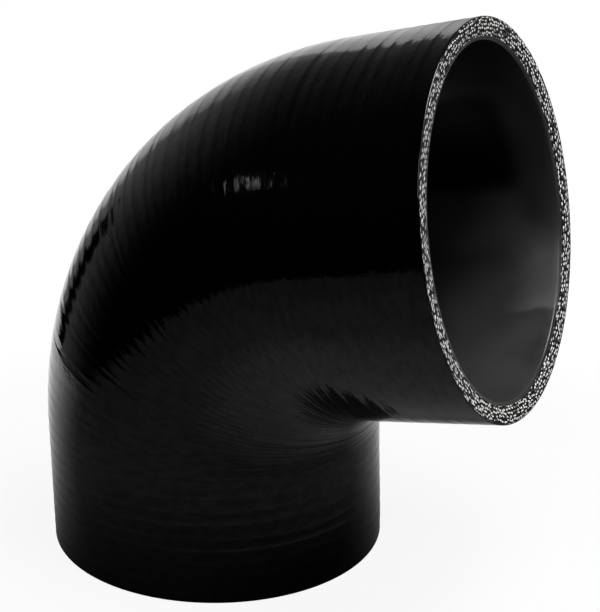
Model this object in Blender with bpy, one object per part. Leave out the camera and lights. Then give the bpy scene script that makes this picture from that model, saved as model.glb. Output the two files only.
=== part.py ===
"""Silicone elbow hose: one wrapped and cured wall, bent through a little less than a right angle.

The hose stands on the square-cut end of its lower leg and opens towards +X. The origin is at the
centre of its footprint, on the surface that it stands on. Lengths are in metres.
"""

import math

import bmesh
import bpy
from mathutils import Matrix, Vector

# Bore and wall, the driving sizes of the section
BORE_RADIUS = 0.0445
MOUTH_WALL = 0.0050
FOOT_WALL = 0.0040

# Course of the hose: a straight lower leg, the bend, and a straight leg up to the mouth
FOOT_LEG = 0.0350
MOUTH_LEG = 0.0354
BEND_ANGLE = math.radians(79.7)
INNER_CORNER_RADIUS = 0.0134

# How much wider than round the free lower end sits, front to back, as a share of its radius
FOOT_OVAL = 0.025

# Marks of the wrapping tape: how far apart its turns lie along the centreline, and their depth
LEG_WRAP_PITCH = 0.0039
BEND_WRAP_PITCH = 0.0027
WRAP_DEPTH = 0.00025
LAP_SHARE = 0.35

# Fineness of the faceted surfaces
SIDES = 40
BORE_BEND_STEPS = 16
BORE_OVERRUN = 0.010

MOUTH_RADIUS = BORE_RADIUS + MOUTH_WALL
FOOT_RADIUS = BORE_RADIUS + FOOT_WALL
BEND_RADIUS = INNER_CORNER_RADIUS + MOUTH_RADIUS


def empty_scene():
    for obj in list(bpy.data.objects):
        bpy.data.objects.remove(obj)


def new_collection(name):
    collection = bpy.data.collections.new(name)
    bpy.context.scene.collection.children.link(collection)
    return collection


def silicone():
    """Glossy black silicone rubber."""
    material = bpy.data.materials.new("black_silicone")
    material.use_nodes = True
    shader = material.node_tree.nodes["Principled BSDF"]
    shader.inputs["Base Color"].default_value = (0.010, 0.010, 0.011, 1.0)
    shader.inputs["Roughness"].default_value = 0.28
    shader.inputs["Metallic"].default_value = 0.0
    material.diffuse_color = (0.03, 0.03, 0.033, 1.0)
    return material


def bend_length():
    return BEND_RADIUS * BEND_ANGLE


def course_length():
    return FOOT_LEG + bend_length() + MOUTH_LEG


def centreline(run):
    """The point that lies this far along the centreline, measured from the lower end."""
    if run <= FOOT_LEG:
        return Vector((0.0, 0.0, run))
    turned = min((run - FOOT_LEG) / BEND_RADIUS, BEND_ANGLE)
    point = Vector((
        BEND_RADIUS * (1.0 - math.cos(turned)),
        0.0,
        FOOT_LEG + BEND_RADIUS * math.sin(turned),
    ))
    beyond = max(run - FOOT_LEG - bend_length(), 0.0)
    return point + beyond * Vector((math.sin(BEND_ANGLE), 0.0, math.cos(BEND_ANGLE)))


def outer_radius(run):
    """The lower leg is a little slimmer than the mouth leg, and the bend grows from one to the other."""
    share = min(max((run - FOOT_LEG) / bend_length(), 0.0), 1.0)
    return FOOT_RADIUS + share * (MOUTH_RADIUS - FOOT_RADIUS)


def wrapped_stations():
    """Places along the hose and the radius there: each turn of tape drops off its lap and climbs to the next."""
    stretches = (
        (0.0, FOOT_LEG, LEG_WRAP_PITCH),
        (FOOT_LEG, bend_length(), BEND_WRAP_PITCH),
        (FOOT_LEG + bend_length(), MOUTH_LEG, LEG_WRAP_PITCH),
    )
    stations = [(0.0, outer_radius(0.0))]
    for start, length, pitch in stretches:
        turns = max(round(length / pitch), 1)
        for turn in range(turns):
            valley = start + length * (turn + LAP_SHARE) / turns
            crest = start + length * (turn + 1) / turns
            stations.append((valley, outer_radius(valley) - WRAP_DEPTH))
            stations.append((crest, outer_radius(crest)))
    return stations


def bore_stations():
    """The bore is smooth, so it needs stations only at the ends of its legs and round the bend."""
    runs = [-BORE_OVERRUN]
    for step in range(BORE_BEND_STEPS + 1):
        runs.append(FOOT_LEG + bend_length() * step / BORE_BEND_STEPS)
    runs.append(course_length() + BORE_OVERRUN)
    return [(run, BORE_RADIUS) for run in runs]


def swept_tube(name, stations, thickest, collection):
    """A closed round bar through the stations, as a mesh with its end caps welded on."""
    curve = bpy.data.curves.new(name + "_path", "CURVE")
    curve.dimensions = "3D"
    curve.bevel_depth = thickest
    curve.bevel_resolution = SIDES // 2 - 2
    curve.use_fill_caps = True
    spline = curve.splines.new("POLY")
    spline.points.add(len(stations) - 1)
    for point, (run, radius) in zip(spline.points, stations):
        point.co = (*centreline(run), 1.0)
        point.radius = radius / thickest
    path = bpy.data.objects.new(name + "_path", curve)
    collection.objects.link(path)
    bpy.context.view_layer.update()

    evaluated = path.evaluated_get(bpy.context.evaluated_depsgraph_get())
    mesh = bpy.data.meshes.new_from_object(evaluated)
    mesh.name = name
    solid = bpy.data.objects.new(name, mesh)
    solid.matrix_world = path.matrix_world
    collection.objects.link(solid)
    bpy.data.objects.remove(path)

    shape = bmesh.new()
    shape.from_mesh(mesh)
    bmesh.ops.remove_doubles(shape, verts=shape.verts, dist=0.00001)
    bmesh.ops.recalc_face_normals(shape, faces=shape.faces)
    shape.to_mesh(mesh)
    shape.free()
    return solid


def relax_foot(solid):
    """Lets the lower leg go gently oval towards its free end, without changing how far round it is."""
    for vertex in solid.data.vertices:
        down = min(max(1.0 - vertex.co.z / FOOT_LEG, 0.0), 1.0)
        ease = down * down * (3.0 - 2.0 * down)
        vertex.co.x *= 1.0 + FOOT_OVAL * ease
        vertex.co.y *= 1.0 - FOOT_OVAL * ease


def footprint_middle():
    """Half way between the back of the lower leg and the furthest reach of the mouth's rim."""
    back = -FOOT_RADIUS * (1.0 + FOOT_OVAL)
    reach = centreline(course_length()).x + MOUTH_RADIUS * abs(math.cos(BEND_ANGLE))
    return 0.5 * (back + reach)


def elbow_hose(parts, cutters):
    """The wrapped outer form with the mandrel's smooth bore taken out of it."""
    hose = swept_tube("elbow_hose", wrapped_stations(), MOUTH_RADIUS, parts)
    mandrel = swept_tube("mandrel", bore_stations(), BORE_RADIUS, cutters)
    mandrel.hide_render = True
    mandrel.display_type = "WIRE"
    to_middle = Matrix.Translation((-footprint_middle(), 0.0, 0.0))
    for solid in (hose, mandrel):
        relax_foot(solid)
        solid.matrix_world = to_middle

    bore = hose.modifiers.new("bore", "BOOLEAN")
    bore.operation = "DIFFERENCE"
    bore.solver = "EXACT"
    bore.object = mandrel

    hose.data.materials.append(silicone())
    hose.data.shade_smooth()
    hose.data.set_sharp_from_angle(angle=math.radians(35.0))
    return hose


def build():
    empty_scene()
    parts = new_collection("silicone_elbow_hose")
    cutters = new_collection("cutters")
    cutters.hide_render = True
    elbow_hose(parts, cutters)


build()
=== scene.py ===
"""The looks of the silicone elbow hose: a wrapped glossy outside, cut fabric plies and a satin bore.

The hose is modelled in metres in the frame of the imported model: it stands on z = 0 and opens towards +X.
"""

import math

import bpy
import numpy as np
from mathutils import Matrix, Vector

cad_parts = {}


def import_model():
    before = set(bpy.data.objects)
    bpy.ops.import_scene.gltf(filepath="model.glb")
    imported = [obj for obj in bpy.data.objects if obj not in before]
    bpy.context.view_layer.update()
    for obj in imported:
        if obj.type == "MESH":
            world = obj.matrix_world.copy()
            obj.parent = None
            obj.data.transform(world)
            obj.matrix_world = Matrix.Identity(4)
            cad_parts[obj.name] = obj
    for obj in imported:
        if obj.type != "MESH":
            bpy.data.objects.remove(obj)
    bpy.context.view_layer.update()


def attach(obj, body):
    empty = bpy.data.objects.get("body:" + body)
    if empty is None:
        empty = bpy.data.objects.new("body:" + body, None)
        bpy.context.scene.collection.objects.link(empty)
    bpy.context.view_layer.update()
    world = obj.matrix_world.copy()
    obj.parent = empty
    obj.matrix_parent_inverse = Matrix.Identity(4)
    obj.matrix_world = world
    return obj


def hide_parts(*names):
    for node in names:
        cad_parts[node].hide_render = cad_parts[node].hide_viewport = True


# Section and course of the hose
BORE_RADIUS = 0.0445
MOUTH_WALL = 0.0050
FOOT_WALL = 0.0040
FOOT_LEG = 0.0350
MOUTH_LEG = 0.0354
BEND_ANGLE = math.radians(79.7)
INNER_CORNER_RADIUS = 0.0134
FOOT_OVAL = 0.025

# Laps of the wrapping tape: how far apart they lie along the centreline, and the hollow between them
LEG_WRAP_PITCH = 0.0039
BEND_WRAP_PITCH = 0.0027
WRAP_DEPTH = 0.00007
LAP_SHARE = 0.35
WRAP_WANDER = 0.0004
MOST_WANDER = 0.0008
WRAP_SEED = 7
WAVE_HARMONICS = 5

# Each turn has its own depth, as a share of the usual one, and its own step down from the turn before it
MEAN_HEIGHT = 0.65
HEIGHT_SPREAD = 0.35
HEIGHT_WAVES = 0.2
LEAST_HEIGHT = 0.05
MOST_HEIGHT = 1.3
STEP_DEPTH = 0.00003
MEAN_STEP = 0.5
STEP_WAVES = 0.6
MOST_STEP = 1.5

# The laps are deeper on the outer side where the bend begins, and shallower on the flanks of the bend
FIRST_BEND_DEPTH = 0.00006
FIRST_BEND_REACH = 0.012
OUTER_SIDE_COSINES = (0.0, 0.7)
FLANK_SMOOTHING = 0.5
FLANK_SINES = (0.6, 0.95)

# Folds that the tape bunches into on the inside of the bend, each a few turns wide
TURNS_PER_FOLD = 3
FOLD_DEPTH = 0.00011
LEAST_FOLD = 0.2
INNER_SIDE_COSINES = (0.45, 0.95)

# The marks that only the bend has fade in and out over this length on either side of its ends
BEND_EASE = 0.008

# Edges of the cut ends
OUTER_EDGE_RADIUS = 0.00025
BORE_LIP_RADIUS = 0.0003

# The wall swells inwards towards the mouth, most at the hose's two sides, and its cut face is dished
MOUTH_SWELL = 0.0005
SIDE_SWELL = 0.0012
SWELL_REACH = 0.030
MOUTH_DISH = 0.0011

# Fineness of the mesh: TURN_SHARES are the places of the rings within one turn of tape
SEGMENTS = 176
TURN_SHARES = (0.0, 0.05, 0.11, 0.22, 0.36, 0.52, 0.68, 0.84)
BORE_RINGS = 64
FACE_RINGS = 8
EDGE_RINGS = 4

# Numbers of the materials on the wall
OUTSIDE = 0
CUT_FACE = 1
LINING = 2

# The camera: where it stands round the hose, and its lens
VIEW_AZIMUTH = math.radians(29.54)
VIEW_ELEVATION = math.radians(17.83)
CAMERA_PLACE = (0.1579, -0.2683, 0.1717)
LENS_MM = 69.24
SENSOR_MM = 36.0
CLIP_START = 0.01

# The paper under the hose, in its own axes: X to the right in the view and Y away from the camera
SWEEP_LEFT = -0.25
SWEEP_RIGHT = 0.42
SWEEP_FRONT = 0.40
SWEEP_BACK = 1.00
SWEEP_BEND_RADIUS = 0.35
SWEEP_HEIGHT = 1.00
SWEEP_STEPS = 12
PAPER_DROP = 0.0002
FOOT_ON_PAPER = (-0.020, 0.011, 0.0)

# Levels before and after a span that a value is remapped over
FALLING = (1.0, 0.0)
RISING = (0.0, 1.0)

# Noise: its middle, and the part of its range that the finishes use
NOISE_MIDDLE = 0.5
NOISE_RANGE = (0.3, 0.7)

# The wrapped outside: its patterns are longer round the hose than along it
LINE_STRETCH = (0.10, 0.10, 1.0)
SKIN_STRETCH = (1.0, 1.0, 1.6)
BLOTCH_STRETCH = (1.0, 1.0, 1.8)
OUTSIDE_LEVEL = 0.0008
OUTSIDE_ROUGHNESS = (0.07, 0.12)
OUTSIDE_GLOSS = (0.33, 0.47)
BLOTCH_RANGE = (0.35, 0.65)
SKIN_BUMP = 0.00004
TAPE_LINE_BUMP = 0.00004

# Plies at the cut ends: where their rows begin outside the bore, and the spacing of the yarn ends in them
LINER = 0.0005
PLY_ROW = 0.00082
YARN_SPACING = 0.0014
ROW_SHIFT = 0.37
YARN_RANDOMNESS = 0.60
DASH_FLATNESS = 1.3
DASH_EDGE = (0.32, 0.41)
PLY_WAVE = 0.0009
LINER_FADE = 0.0002
OUTER_SKIN_DEPTHS = (0.00040, 0.00020)
YARN_SHADES = (0.05, 0.45)
YARN_LEVELS = (0.05, 1.0)
FIBRE_RANGE = (0.35, 0.6)
FIBRE_LEVELS = (0.82, 1.0)
LINER_LEVEL = 0.045
RUBBER_LEVEL = 0.006
YARN_COLOUR = (0.98, 0.98, 0.96, 1.0)
PLY_ROUGHNESS = 0.6
PLY_GLOSS = 0.15
PLY_BUMP = 0.0001

# The bore's lining
LINING_LEVELS = (0.019, 0.026)
LINING_ROUGHNESS = (0.30, 0.40)
LINING_BUMP = 0.00001
SMEAR = 0.25

# Painted light in the bore: a paler, cloudy patch on its +Y side just inside the mouth
LIGHT_PATCH_TOP = math.radians(97.0)
LIGHT_PATCH_MIDDLE = math.radians(120.0)
LIGHT_PATCH_FOOT = math.radians(133.0)
LIGHT_PATCH_FADE = 0.05
LIGHT_PATCH_REACH = 0.019
LIGHT_PATCH_CLOUDS = (0.6, 1.0)
LIGHT_PATCH_LEVEL = 0.085

# On the same side: painted shade, a blacker and less glossy patch above it, and a band of painted light
# between the two
SHADE_PATCH_TOP = math.radians(49.0)
SHADE_PATCH_FOOT = math.radians(88.0)
LIGHT_BAND_FOOT = math.radians(113.0)
PATCH_EDGE = math.radians(5.0)
PATCH_DEPTHS = (0.007, 0.016)
SHADE_PATCH_LEVEL = 0.002
LIGHT_BAND_LEVEL = 0.045
LINING_GLOSS = (0.5, 0.12)

# The paper where it is seen: a little under white near the hose, so that its shadow shows
PAPER_LEVEL = 0.055
PAPER_ROUGHNESS = 0.9
PAPER_GLOSS = 0.1
SHOWN_REACH = (0.12, 0.30)
SHOWN_LEVELS = (0.91, 1.0)

# The paper's glow in the gloss, painted light and shade: white behind the hose but less so to its right,
# and dim in front, most to its left and round the foot
BEHIND_START = (-0.03, 0.15)
BEHIND_RIGHT = (0.0, 0.25)
BEHIND_RIGHT_LEVELS = (1.0, 0.3)
FRONT_REACH = (0.053, 0.130)
FRONT_LEVELS = (0.0, 0.10)
FRONT_LEFT = (-0.20, -0.05)
FRONT_LEFT_LEVELS = (0.55, 1.0)
STEEP_RANGE = (0.55, 0.90)
STEEP_LEVELS = (0.0, 0.20)
PAPER_BOUNCE = 0.2

# A pale wall behind the hose in the gloss, in degrees off the view's line and above the horizon
WALL_SIDES = (26.0, 36.0)
WALL_HEIGHTS = (8.0, 42.0)
WALL_LEVELS = (0.8, 0.05)

# The dim room round that wall, in the same degrees, and the light that it gives to what isn't glossy
ROOM_SIDES = (34.0, 90.0)
ROOM_LEVELS = (0.24, 0.0)
ROOM_HEIGHTS = (20.0, 60.0)
ROOM_HEIGHT_LEVELS = (1.0, 0.15)
ROOM_LIGHT = 0.02

# A low dark panel in the room, on the left
PANEL_LEFT = (-54.0, -51.0)
PANEL_RIGHT = (-42.0, -39.0)
PANEL_TOP = (4.0, 8.0)

# The point that the lamps are aimed at
LAMP_AIM = (0.0, 0.0, 0.09)

MOUTH_RADIUS = BORE_RADIUS + MOUTH_WALL
FOOT_RADIUS = BORE_RADIUS + FOOT_WALL
BEND_RADIUS = INNER_CORNER_RADIUS + MOUTH_RADIUS
BEND_LENGTH = BEND_RADIUS * BEND_ANGLE
COURSE_LENGTH = FOOT_LEG + BEND_LENGTH + MOUTH_LEG


def course(run):
    """Centreline points, and outward directions in the bend's plane, at these runs from the lower end."""
    turned = np.clip((run - FOOT_LEG) / BEND_RADIUS, 0.0, BEND_ANGLE)
    below = np.minimum(run - FOOT_LEG, 0.0)
    beyond = np.maximum(run - FOOT_LEG - BEND_LENGTH, 0.0)
    x = BEND_RADIUS * (1.0 - np.cos(turned)) + beyond * math.sin(BEND_ANGLE)
    z = FOOT_LEG + below + BEND_RADIUS * np.sin(turned) + beyond * math.cos(BEND_ANGLE)
    outward = np.stack([-np.cos(turned), np.zeros_like(turned), np.sin(turned)], axis=-1)
    return np.stack([x, np.zeros_like(x), z], axis=-1), outward


def outer_radius(run):
    """The lower leg is a little slimmer than the mouth leg, and the bend grows from one to the other."""
    share = np.clip((run - FOOT_LEG) / BEND_LENGTH, 0.0, 1.0)
    return FOOT_RADIUS + share * (MOUTH_RADIUS - FOOT_RADIUS)


def footprint_middle():
    """Half way between the back of the lower leg and the furthest reach of the mouth's rim."""
    back = -FOOT_RADIUS * (1.0 + FOOT_OVAL)
    mouth_centre = BEND_RADIUS * (1.0 - math.cos(BEND_ANGLE)) + MOUTH_LEG * math.sin(BEND_ANGLE)
    reach = mouth_centre + MOUTH_RADIUS * abs(math.cos(BEND_ANGLE))
    return 0.5 * (back + reach)


def lap_lines():
    """Where each turn of tape begins, along the centreline."""
    lines = []
    stretches = (
        (0.0, FOOT_LEG, LEG_WRAP_PITCH),
        (FOOT_LEG, BEND_LENGTH, BEND_WRAP_PITCH),
        (FOOT_LEG + BEND_LENGTH, MOUTH_LEG, LEG_WRAP_PITCH),
    )
    for start, length, pitch in stretches:
        turns = max(round(length / pitch), 1)
        lines.extend(start + length * np.arange(turns) / turns)
    lines.append(COURSE_LENGTH)
    return np.array(lines)


def smooth_step(value, low, high):
    """0 below low and 1 above high, with a smooth rise between them."""
    share = np.clip((value - low) / (high - low), 0.0, 1.0)
    return share * share * (3.0 - 2.0 * share)


def slow_waves(rng, count, angles):
    """For each of count turns, a smooth random wave round the hose, with mean 0 and a spread of about 1."""
    total = np.zeros((count, len(angles)))
    for harmonic in range(1, WAVE_HARMONICS + 1):
        size = rng.normal(0.0, 1.0 / harmonic, (count, 1))
        phase = rng.uniform(0.0, 2.0 * math.pi, (count, 1))
        total += size * np.cos(harmonic * angles[None, :] + phase)
    return total


def wandering_lines(lines, angles, rng):
    """The lap lines at each angle round the hose: all but the two ends wander a little."""
    wander = np.clip(WRAP_WANDER * slow_waves(rng, len(lines), angles), -MOST_WANDER, MOST_WANDER)
    wander[0] = 0.0
    wander[-1] = 0.0
    return lines[:, None] + wander


def trough(share):
    """A smooth hollow between two lap lines, deepest at LAP_SHARE."""
    skew = math.log(0.5) / math.log(LAP_SHARE)
    return np.sin(math.pi * share ** skew) ** 2


def turn_heights(rng, count, angles, least):
    """How deep each turn is, as a share of the usual depth, changing slowly round the hose."""
    heights = MEAN_HEIGHT + HEIGHT_SPREAD * rng.uniform(-1.0, 1.0, (count, 1))
    heights = heights + HEIGHT_WAVES * slow_waves(rng, count, angles)
    return np.clip(heights, least, MOST_HEIGHT)


def folds(runs, angles, rng):
    """The broader hollows on the inside of the bend, as shares of their usual depth."""
    every = lap_lines()
    lines = wandering_lines(np.append(every[:-1:TURNS_PER_FOLD], every[-1]), angles, rng)
    count = len(lines) - 1
    heights = turn_heights(rng, count, angles, LEAST_FOLD)
    hollows = np.zeros(runs.shape)
    for column in range(len(angles)):
        edges = lines[:, column]
        fold = np.clip(np.searchsorted(edges, runs[:, column], side="right") - 1, 0, count - 1)
        share = np.clip((runs[:, column] - edges[fold]) / (edges[fold + 1] - edges[fold]), 0.0, 1.0)
        hollows[:, column] = heights[fold, column] * trough(share)
    return hollows


def wrapped_rings(angles):
    """Runs of the outside's rings, which follow the laps, and how far each vertex lies below the crests."""
    rng = np.random.default_rng(WRAP_SEED)
    lines = wandering_lines(lap_lines(), angles, rng)
    turns = len(lines) - 1
    heights = turn_heights(rng, turns, angles, LEAST_HEIGHT)
    steps = np.clip(MEAN_STEP + STEP_WAVES * slow_waves(rng, turns, angles), 0.0, MOST_STEP)
    shares = np.array(TURN_SHARES)[None, :, None]
    runs = lines[:-1, None, :] + shares * (lines[1:] - lines[:-1])[:, None, :]
    past_corner = (runs - FOOT_LEG) / FIRST_BEND_REACH
    outer_side = smooth_step(np.cos(angles), *OUTER_SIDE_COSINES)[None, None, :]
    depth = WRAP_DEPTH + FIRST_BEND_DEPTH * outer_side * np.exp(-past_corner ** 2)
    laps = depth * heights[:, None, :] * trough(shares)
    laps += STEP_DEPTH * steps[:, None, :] * np.where(shares > 0.0, 1.0 - shares, 0.0)

    runs = runs.reshape(-1, len(angles))
    laps = laps.reshape(-1, len(angles))
    bend_end = COURSE_LENGTH - MOUTH_LEG
    bending = smooth_step(runs, FOOT_LEG - BEND_EASE, FOOT_LEG + BEND_EASE)
    bending *= 1.0 - smooth_step(runs, bend_end - BEND_EASE, bend_end + BEND_EASE)
    crowding = np.clip(1.0 + MOUTH_RADIUS * np.cos(angles)[None, :] / BEND_RADIUS, 0.0, 1.0)
    crowding = 1.0 + bending * (crowding - 1.0)
    flank = smooth_step(np.abs(np.sin(angles)), *FLANK_SINES)[None, :]
    crowding *= 1.0 - FLANK_SMOOTHING * bending * flank
    inner_side = smooth_step(-np.cos(angles), *INNER_SIDE_COSINES)[None, :]
    return runs, laps * crowding + FOLD_DEPTH * folds(runs, angles, rng) * bending * inner_side


def edge_arc(run, radius, size, outwards, at_mouth):
    """Stations round a cut edge. outwards is 1 at the outer edge and -1 at the bore's."""
    stations = []
    for step in range(EDGE_RINGS + 1):
        angle = 0.5 * math.pi * step / EDGE_RINGS
        along = size * (1.0 - math.sin(angle))
        inward = size * (1.0 - math.cos(angle))
        place = run - along if at_mouth else run + along
        stations.append((place, radius - outwards * inward))
    return stations


def cut_face(run, first_radius, last_radius):
    """Stations between two edges of a cut end, without the edges themselves."""
    radii = np.linspace(first_radius, last_radius, FACE_RINGS + 1)[1:-1]
    return [(run, float(radius)) for radius in radii]


def end_stations():
    """The rest of the section, as runs, radii and material numbers: cut face, bore and cut face again."""
    mouth_edge = edge_arc(COURSE_LENGTH, MOUTH_RADIUS, OUTER_EDGE_RADIUS, 1.0, True)
    mouth_lip = edge_arc(COURSE_LENGTH, BORE_RADIUS, BORE_LIP_RADIUS, -1.0, True)[::-1]
    mouth_face = cut_face(COURSE_LENGTH, mouth_edge[-1][1], mouth_lip[0][1])
    bore_runs = np.linspace(COURSE_LENGTH - BORE_LIP_RADIUS, BORE_LIP_RADIUS, BORE_RINGS + 1)[1:-1]
    bore = [(float(run), BORE_RADIUS) for run in bore_runs]
    foot_lip = edge_arc(0.0, BORE_RADIUS, BORE_LIP_RADIUS, -1.0, False)
    foot_edge = edge_arc(0.0, FOOT_RADIUS, OUTER_EDGE_RADIUS, 1.0, False)[::-1]
    foot_face = cut_face(0.0, foot_lip[-1][1], foot_edge[0][1])
    groups = (
        (mouth_edge, OUTSIDE),
        (mouth_face, CUT_FACE),
        (mouth_lip, LINING),
        (bore, LINING),
        (foot_lip, LINING),
        (foot_face, CUT_FACE),
        (foot_edge, OUTSIDE),
    )
    return [(run, radius, material) for group, material in groups for run, radius in group]


def section_grid(angles):
    """Runs and radii of every vertex, ring by ring round the section, and each ring's material number."""
    runs, depths = wrapped_rings(angles)
    margin = 2.0 * OUTER_EDGE_RADIUS
    clear = np.all((runs > margin) & (runs < COURSE_LENGTH - margin), axis=1)
    runs = runs[clear]
    radii = outer_radius(runs) - depths[clear]
    ends = end_stations()
    spread = np.ones((1, len(angles)))
    end_runs = np.array([station[0] for station in ends])[:, None] * spread
    end_radii = np.array([station[1] for station in ends])[:, None] * spread
    materials = [OUTSIDE] * len(runs) + [station[2] for station in ends]
    return np.concatenate([runs, end_runs]), np.concatenate([radii, end_radii]), materials


def swollen_mouth(runs, radii, angles):
    """Runs and radii with the wall thicker towards the mouth's bore and the cut face dished there."""
    near = smooth_step(runs, COURSE_LENGTH - SWELL_REACH, COURSE_LENGTH)
    # The first half of a smooth step, doubled: 0 at the outside and 1 at the bore
    inwards = smooth_step(MOUTH_RADIUS - radii, 0.0, 2.0 * MOUTH_WALL) * 2.0
    swell = MOUTH_SWELL + SIDE_SWELL * np.sin(angles)[None, :] ** 2
    return runs - MOUTH_DISH * near * inwards, radii - swell * near * inwards


def hose_points(runs, radii, angles):
    """Vertex places in the frame, and the same surface unbent, which the patterns are laid out on."""
    swollen_runs, swollen_radii = swollen_mouth(runs, radii, angles)
    centres, outward = course(swollen_runs)
    across = np.array([0.0, 1.0, 0.0])
    spokes = np.cos(angles)[None, :, None] * outward + np.sin(angles)[None, :, None] * across
    points = centres + swollen_radii[:, :, None] * spokes

    ease = smooth_step(1.0 - points[:, :, 2] / FOOT_LEG, 0.0, 1.0)
    points[:, :, 0] *= 1.0 + FOOT_OVAL * ease
    points[:, :, 1] *= 1.0 - FOOT_OVAL * ease
    points[:, :, 0] -= footprint_middle()

    unbent = np.stack([radii * np.cos(angles)[None, :], radii * np.sin(angles)[None, :], runs], axis=-1)
    return points, unbent


def hose_wall():
    """One closed wall: a ring of vertices at each station, joined to the next and the last to the first."""
    angles = 2.0 * math.pi * np.arange(SEGMENTS) / SEGMENTS
    runs, radii, ring_materials = section_grid(angles)
    points, unbent = hose_points(runs, radii, angles)
    rings = len(runs)

    faces = []
    materials = []
    for ring in range(rings):
        following = (ring + 1) % rings
        for segment in range(SEGMENTS):
            beside = (segment + 1) % SEGMENTS
            faces.append((
                ring * SEGMENTS + segment,
                following * SEGMENTS + segment,
                following * SEGMENTS + beside,
                ring * SEGMENTS + beside,
            ))
            materials.append(max(ring_materials[ring], ring_materials[following]))

    mesh = bpy.data.meshes.new("hose_wall")
    mesh.from_pydata(points.reshape(-1, 3).tolist(), [], faces)
    mesh.polygons.foreach_set("material_index", materials)
    layout = mesh.attributes.new("unbent", "FLOAT_VECTOR", "POINT")
    layout.data.foreach_set("vector", unbent.reshape(-1))
    mesh.shade_smooth()
    mesh.update()
    wall = bpy.data.objects.new("hose_wall", mesh)
    bpy.context.scene.collection.objects.link(wall)
    return wall


def grey(level):
    """A neutral colour of this linear level."""
    return (level, level, level, 1.0)


class Nodes:
    """Short calls that add nodes to a material's or a world's tree."""

    def __init__(self, owner):
        owner.use_nodes = True
        self.tree = owner.node_tree
        self.tree.nodes.clear()

    def add(self, kind, **settings):
        node = self.tree.nodes.new(kind)
        for name, value in settings.items():
            setattr(node, name, value)
        return node

    def put(self, value, socket):
        """Links a socket, or sets a constant."""
        if isinstance(value, bpy.types.NodeSocket):
            self.tree.links.new(value, socket)
        else:
            socket.default_value = value

    def math(self, operation, first, second=0.0, third=0.0):
        node = self.add("ShaderNodeMath", operation=operation)
        for value, socket in zip((first, second, third), node.inputs):
            self.put(value, socket)
        return node.outputs[0]

    def product(self, first, *others):
        total = first
        for factor in others:
            total = self.math("MULTIPLY", total, factor)
        return total

    def vector(self, operation, first, second=None):
        """A vector operation, which gives its length or distance where it has one and else a vector."""
        node = self.add("ShaderNodeVectorMath", operation=operation)
        self.put(first, node.inputs[0])
        if second is not None:
            self.put(second, node.inputs[1])
        return node.outputs["Value" if operation in ("LENGTH", "DISTANCE") else "Vector"]

    def split(self, place):
        node = self.add("ShaderNodeSeparateXYZ")
        self.put(place, node.inputs[0])
        return node.outputs["X"], node.outputs["Y"], node.outputs["Z"]

    def remap(self, value, span, levels=RISING):
        """A smooth step from the first level to the second over this span of the value."""
        node = self.add("ShaderNodeMapRange", interpolation_type="SMOOTHSTEP")
        for entry, socket in zip((value, *span, *levels), node.inputs):
            self.put(entry, socket)
        return node.outputs[0]

    def noise(self, place, scale, detail=2.0, roughness=0.5):
        node = self.add("ShaderNodeTexNoise")
        self.put(place, node.inputs["Vector"])
        node.inputs["Scale"].default_value = scale
        node.inputs["Detail"].default_value = detail
        node.inputs["Roughness"].default_value = roughness
        return node.outputs["Fac"]

    def unbent(self):
        return self.add("ShaderNodeAttribute", attribute_name="unbent").outputs["Vector"]

    def bump(self, height, distance, normal=None):
        node = self.add("ShaderNodeBump")
        self.put(height, node.inputs["Height"])
        if normal is not None:
            self.put(normal, node.inputs["Normal"])
        node.inputs["Distance"].default_value = distance
        node.inputs["Strength"].default_value = 1.0
        return node.outputs["Normal"]

    def mixed_colour(self, share, first, second):
        node = self.add("ShaderNodeMix", data_type="RGBA")
        self.put(share, node.inputs["Factor"])
        self.put(first, node.inputs[6])
        self.put(second, node.inputs[7])
        return node.outputs[2]

    def mixed_number(self, share, first, second):
        node = self.add("ShaderNodeMix", data_type="FLOAT")
        self.put(share, node.inputs["Factor"])
        self.put(first, node.inputs[2])
        self.put(second, node.inputs[3])
        return node.outputs[0]

    def surface(self, **values):
        """A Principled shader on the output, with these sockets set or linked."""
        shader = self.add("ShaderNodeBsdfPrincipled")
        for name, value in values.items():
            self.put(value, shader.inputs[name.replace("_", " ")])
        output = self.add("ShaderNodeOutputMaterial")
        self.tree.links.new(shader.outputs[0], output.inputs["Surface"])
        return shader


def wrapped_silicone():
    """Glossy black outside: fine lines of tape round the hose, and a slightly uneven, mottled skin."""
    material = bpy.data.materials.new("wrapped_silicone")
    nodes = Nodes(material)
    place = nodes.unbent()
    lines_place = nodes.vector("MULTIPLY", place, LINE_STRETCH)
    skin_place = nodes.vector("MULTIPLY", place, SKIN_STRETCH)
    blotch_place = nodes.vector("MULTIPLY", place, BLOTCH_STRETCH)
    tape_lines = nodes.noise(lines_place, scale=900.0, detail=3.0, roughness=0.6)
    uneven = nodes.noise(skin_place, scale=420.0)
    mottle = nodes.noise(place, scale=260.0)
    blotches = nodes.noise(blotch_place, scale=300.0, detail=4.0, roughness=0.65)
    skin = nodes.bump(uneven, SKIN_BUMP)
    nodes.surface(
        Base_Color=grey(OUTSIDE_LEVEL),
        Roughness=nodes.remap(mottle, NOISE_RANGE, OUTSIDE_ROUGHNESS),
        Specular_IOR_Level=nodes.remap(blotches, BLOTCH_RANGE, OUTSIDE_GLOSS),
        Normal=nodes.bump(tape_lines, TAPE_LINE_BUMP, skin),
    )
    return material


def along_and_around(nodes, place):
    """Angle from the outer side, positive towards +Y, distance from the centreline, and run."""
    x, y, run = nodes.split(place)
    turn = nodes.math("ARCTAN2", y, x)
    radius = nodes.vector("LENGTH", nodes.vector("MULTIPLY", place, (1.0, 1.0, 0.0)))
    return turn, radius, run


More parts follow.
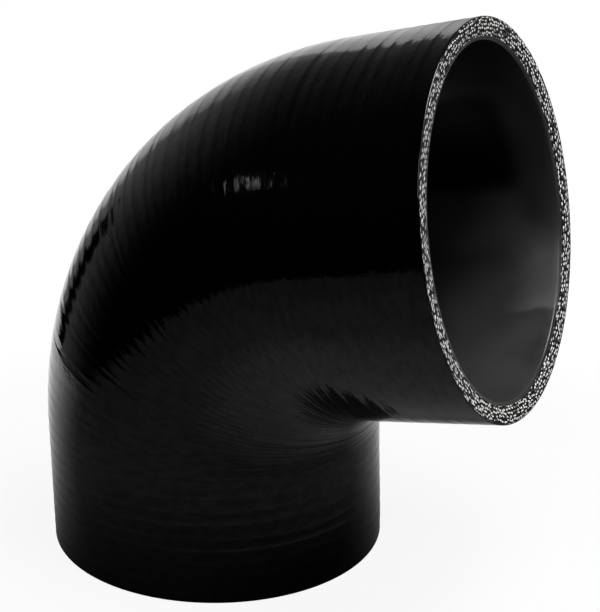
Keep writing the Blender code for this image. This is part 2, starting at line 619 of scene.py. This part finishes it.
def yarn_ends(nodes, around, through):
    """Short dashes in rows through the wall: a dash's strength, and how white its fibre is."""
    row = nodes.math("DIVIDE", through, PLY_ROW)
    shift = nodes.math("MULTIPLY", nodes.math("FLOOR", row), ROW_SHIFT)
    place = nodes.add("ShaderNodeCombineXYZ")
    nodes.put(nodes.math("ADD", nodes.math("DIVIDE", around, YARN_SPACING), shift), place.inputs["X"])
    nodes.put(row, place.inputs["Y"])
    dashes = nodes.add("ShaderNodeTexVoronoi", voronoi_dimensions="2D", feature="F1")
    nodes.put(place.outputs[0], dashes.inputs["Vector"])
    dashes.inputs["Scale"].default_value = 1.0
    dashes.inputs["Randomness"].default_value = YARN_RANDOMNESS
    from_middle = nodes.vector("SUBTRACT", place.outputs[0], dashes.outputs["Position"])
    distance = nodes.vector("LENGTH", nodes.vector("MULTIPLY", from_middle, (1.0, DASH_FLATNESS, 0.0)))
    shade = nodes.add("ShaderNodeSeparateColor")
    nodes.put(dashes.outputs["Color"], shade.inputs[0])
    return nodes.remap(distance, DASH_EDGE, FALLING), shade.outputs[0]


def cut_plies():
    """The cut end: rows of short white dashes of yarn, set in black silicone, with plain skins."""
    material = bpy.data.materials.new("cut_plies")
    nodes = Nodes(material)
    place = nodes.unbent()
    turn, radius, _ = along_and_around(nodes, place)
    around = nodes.math("MULTIPLY", turn, MOUTH_RADIUS)
    wave = nodes.math("SUBTRACT", nodes.noise(place, scale=240.0), NOISE_MIDDLE)
    from_liner = nodes.math("SUBTRACT", radius, BORE_RADIUS + LINER)
    through = nodes.math("MULTIPLY_ADD", wave, PLY_WAVE, from_liner)
    dashes, shade = yarn_ends(nodes, around, through)
    fine = nodes.remap(nodes.noise(place, scale=2600.0), FIBRE_RANGE, FIBRE_LEVELS)
    skin_radii = tuple(MOUTH_RADIUS - depth for depth in OUTER_SKIN_DEPTHS)
    outer_skin = nodes.remap(radius, skin_radii, FALLING)
    liner = nodes.remap(through, (0.0, LINER_FADE))
    white = nodes.product(dashes, nodes.remap(shade, YARN_SHADES, YARN_LEVELS), fine, outer_skin, liner)
    black = nodes.mixed_colour(liner, grey(LINER_LEVEL), grey(RUBBER_LEVEL))
    nodes.surface(
        Base_Color=nodes.mixed_colour(white, black, YARN_COLOUR),
        Roughness=PLY_ROUGHNESS,
        Specular_IOR_Level=PLY_GLOSS,
        Normal=nodes.bump(white, PLY_BUMP),
    )
    return material


def about(angle):
    """The span of a patch's soft edge at this angle."""
    return (angle - PATCH_EDGE, angle + PATCH_EDGE)


def bore_lining():
    """Satin black lining: cloudy, with a patch of painted shade, a band of painted light and a paler patch
    of painted light on one side near the mouth.
    """
    material = bpy.data.materials.new("bore_lining")
    nodes = Nodes(material)
    place = nodes.unbent()
    clouds = nodes.noise(place, scale=60.0, detail=3.0)
    turn, _, run = along_and_around(nodes, place)
    smear = nodes.math("MULTIPLY_ADD", nodes.math("SUBTRACT", clouds, NOISE_MIDDLE), SMEAR, turn)
    inside = nodes.math("SUBTRACT", COURSE_LENGTH, run)

    # Painted light: a paler patch on the +Y side just inside the mouth
    painted_light_patch = nodes.product(
        nodes.remap(smear, (LIGHT_PATCH_TOP, LIGHT_PATCH_MIDDLE)),
        nodes.remap(smear, (LIGHT_PATCH_FOOT, LIGHT_PATCH_FOOT + LIGHT_PATCH_FADE), FALLING),
        nodes.remap(inside, (0.0, LIGHT_PATCH_REACH), FALLING),
        nodes.remap(clouds, NOISE_RANGE, LIGHT_PATCH_CLOUDS),
    )
    deep = nodes.remap(inside, PATCH_DEPTHS)
    # Painted shade: a blacker, less glossy patch above the painted light, a little way into the bore
    painted_shade_patch = nodes.product(
        deep,
        nodes.remap(smear, about(SHADE_PATCH_TOP)),
        nodes.remap(smear, about(SHADE_PATCH_FOOT), FALLING),
    )
    # Painted light: a paler band between the painted shade and the paler patch
    painted_light_band = nodes.product(
        deep,
        nodes.remap(smear, about(SHADE_PATCH_FOOT)),
        nodes.remap(smear, (LIGHT_BAND_FOOT - 2.0 * PATCH_EDGE, LIGHT_BAND_FOOT), FALLING),
    )

    darker, paler = (grey(level) for level in LINING_LEVELS)
    colour = nodes.mixed_colour(nodes.remap(clouds, NOISE_RANGE), darker, paler)
    # The painted shade and painted light are mixed into the colour
    colour = nodes.mixed_colour(painted_shade_patch, colour, grey(SHADE_PATCH_LEVEL))
    colour = nodes.mixed_colour(painted_light_band, colour, grey(LIGHT_BAND_LEVEL))
    colour = nodes.mixed_colour(painted_light_patch, colour, grey(LIGHT_PATCH_LEVEL))
    nodes.surface(
        Base_Color=colour,
        Roughness=nodes.remap(clouds, NOISE_RANGE, LINING_ROUGHNESS),
        Specular_IOR_Level=nodes.remap(painted_shade_patch, (0.0, 1.0), LINING_GLOSS),
        Normal=nodes.bump(nodes.noise(place, scale=1400.0), LINING_BUMP),
    )
    return material


def seen_directly(nodes, path):
    """1 for a ray from the camera, straight or through glass."""
    return nodes.math("MAXIMUM", path.outputs["Is Camera Ray"], path.outputs["Is Transmission Ray"])


def painted_paper_glow(nodes, place):
    """The painted light and shade that the paper glows with where the hose mirrors it."""
    across, along, _ = nodes.split(place)
    # Painted light on the paper behind the hose
    behind = nodes.product(
        nodes.remap(along, BEHIND_START),
        nodes.remap(across, BEHIND_RIGHT, BEHIND_RIGHT_LEVELS),
    )
    from_foot = nodes.vector("DISTANCE", place, FOOT_ON_PAPER)
    # Painted shadow: dark round the foot, and darker to the left
    in_front = nodes.product(
        nodes.remap(from_foot, FRONT_REACH, FRONT_LEVELS),
        nodes.remap(across, FRONT_LEFT, FRONT_LEFT_LEVELS),
    )
    # Painted light where the paper is mirrored steeply
    steep = nodes.math("SUBTRACT", 1.0, nodes.add("ShaderNodeLayerWeight").outputs["Facing"])
    in_front = nodes.math("MAXIMUM", in_front, nodes.remap(steep, STEEP_RANGE, STEEP_LEVELS))
    return nodes.math("MAXIMUM", behind, in_front)


def paper():
    """White paper where it is seen, with shadows; in the gloss it glows with painted light, white behind
    the hose only, and painted shade in front.
    """
    material = bpy.data.materials.new("white_paper")
    nodes = Nodes(material)
    place = nodes.add("ShaderNodeTexCoord").outputs["Object"]
    path = nodes.add("ShaderNodeLightPath")
    shown = nodes.remap(nodes.vector("LENGTH", place), SHOWN_REACH, SHOWN_LEVELS)
    direct = nodes.math("MULTIPLY", seen_directly(nodes, path), shown)
    # Glossy rays see the painted light and shade that the paper glows with
    glossy = nodes.math("MULTIPLY", path.outputs["Is Glossy Ray"], painted_paper_glow(nodes, place))
    bounced = nodes.math("MULTIPLY", path.outputs["Is Diffuse Ray"], PAPER_BOUNCE)
    nodes.surface(
        Base_Color=grey(PAPER_LEVEL),
        Roughness=PAPER_ROUGHNESS,
        Specular_IOR_Level=PAPER_GLOSS,
        Emission_Color=grey(1.0),
        Emission_Strength=nodes.math("ADD", direct, nodes.math("ADD", glossy, bounced)),
    )
    return material


def sweep():
    """A roll of paper: flat under the hose, then curved up behind it."""
    profile = [(-SWEEP_FRONT, 0.0), (SWEEP_BACK, 0.0)]
    for step in range(1, SWEEP_STEPS + 1):
        angle = 0.5 * math.pi * step / SWEEP_STEPS
        along = SWEEP_BACK + SWEEP_BEND_RADIUS * math.sin(angle)
        profile.append((along, SWEEP_BEND_RADIUS * (1.0 - math.cos(angle))))
    profile.append((profile[-1][0], SWEEP_HEIGHT))
    points = []
    for along, height in profile:
        points.append((SWEEP_LEFT, along, height - PAPER_DROP))
        points.append((SWEEP_RIGHT, along, height - PAPER_DROP))
    faces = [(2 * row, 2 * row + 1, 2 * row + 3, 2 * row + 2) for row in range(len(profile) - 1)]
    mesh = bpy.data.meshes.new("paper_sweep")
    mesh.from_pydata(points, [], faces)
    mesh.shade_smooth()
    mesh.materials.append(paper())
    roll = bpy.data.objects.new("paper_sweep", mesh)
    roll.rotation_euler = (0.0, 0.0, VIEW_AZIMUTH)
    bpy.context.scene.collection.objects.link(roll)
    return roll


def in_radians(span):
    return tuple(math.radians(angle) for angle in span)


def in_sines(span):
    return tuple(math.sin(math.radians(angle)) for angle in span)


def room_in_gloss(nodes):
    """How bright the room is in each direction that the hose mirrors."""
    x, y, height = nodes.split(nodes.add("ShaderNodeTexCoord").outputs["Generated"])
    off_axis = nodes.math("ADD", nodes.math("ARCTAN2", x, y), VIEW_AZIMUTH)
    aside = nodes.math("ABSOLUTE", off_axis)
    wall = nodes.product(
        nodes.remap(aside, in_radians(WALL_SIDES), FALLING),
        nodes.remap(height, in_sines(WALL_HEIGHTS), WALL_LEVELS),
    )
    panel = nodes.product(
        nodes.remap(off_axis, in_radians(PANEL_LEFT)),
        nodes.remap(off_axis, in_radians(PANEL_RIGHT), FALLING),
        nodes.remap(height, in_sines(PANEL_TOP), FALLING),
    )
    room = nodes.product(
        nodes.remap(aside, in_radians(ROOM_SIDES), ROOM_LEVELS),
        nodes.remap(height, in_sines(ROOM_HEIGHTS), ROOM_HEIGHT_LEVELS),
        nodes.math("SUBTRACT", 1.0, panel),
    )
    return nodes.math("MAXIMUM", wall, room)


def studio():
    """The room round the sweep: white where it is seen, and dim with a pale wall behind in the gloss."""
    world = bpy.data.worlds.new("studio")
    bpy.context.scene.world = world
    nodes = Nodes(world)
    path = nodes.add("ShaderNodeLightPath")
    level = nodes.mixed_number(path.outputs["Is Glossy Ray"], ROOM_LIGHT, room_in_gloss(nodes))
    background = nodes.add("ShaderNodeBackground")
    background.inputs["Color"].default_value = grey(1.0)
    nodes.put(nodes.mixed_number(seen_directly(nodes, path), level, 1.0), background.inputs["Strength"])
    output = nodes.add("ShaderNodeOutputWorld")
    nodes.tree.links.new(background.outputs[0], output.inputs["Surface"])


def direction_from(azimuth, elevation):
    """A direction as seen from the hose: azimuth 0 is +Y and 90 is +X, in degrees."""
    turn = math.radians(azimuth)
    rise = math.radians(elevation)
    return Vector((math.sin(turn) * math.cos(rise), math.cos(turn) * math.cos(rise), math.sin(rise)))


def area_lamp(name, azimuth, elevation, distance, width, depth, radiance, roll=0.0):
    """A lamp of this radiance that faces the hose, rolled about the line to it. Angles are in degrees."""
    lamp = bpy.data.lights.new(name, "AREA")
    lamp.shape = "RECTANGLE"
    lamp.size = width
    lamp.size_y = depth
    lamp.energy = radiance * math.pi * width * depth
    holder = bpy.data.objects.new(name, lamp)
    away = direction_from(azimuth, elevation)
    holder.location = Vector(LAMP_AIM) + distance * away
    facing = away.to_track_quat("Z", "Y").to_matrix() @ Matrix.Rotation(math.radians(roll), 3, "Z")
    holder.rotation_euler = facing.to_euler()
    bpy.context.scene.collection.objects.link(holder)


def lamps():
    area_lamp(
        "top_softbox", azimuth=90.0, elevation=72.0, distance=0.6,
        width=0.3, depth=0.3, radiance=15.2,
    )
    area_lamp(
        "side_softbox", azimuth=85.0, elevation=50.0, distance=0.55,
        width=0.35, depth=0.35, radiance=2.9,
    )
    area_lamp(
        "front_softbox", azimuth=172.0, elevation=38.0, distance=0.9,
        width=0.35, depth=0.35, radiance=5.6,
    )
    area_lamp(
        "strip_light", azimuth=-131.0, elevation=27.0, distance=0.9,
        width=0.11, depth=0.012, radiance=5.0, roll=-25.0,
    )


def camera():
    """The camera at the photo's place, without roll or shift."""
    holder = bpy.data.objects.new("camera", bpy.data.cameras.new("camera"))
    holder.data.lens = LENS_MM
    holder.data.sensor_width = SENSOR_MM
    holder.data.clip_start = CLIP_START
    holder.location = CAMERA_PLACE
    holder.rotation_euler = (0.5 * math.pi - VIEW_ELEVATION, 0.0, VIEW_AZIMUTH)
    bpy.context.scene.collection.objects.link(holder)
    bpy.context.scene.camera = holder


def main():
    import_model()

    wall = hose_wall()
    for material in (wrapped_silicone(), cut_plies(), bore_lining()):
        wall.data.materials.append(material)
    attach(wall, "root")
    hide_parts("elbow_hose")

    sweep()
    studio()
    lamps()
    camera()
    bpy.context.scene.view_settings.view_transform = "Standard"


main()
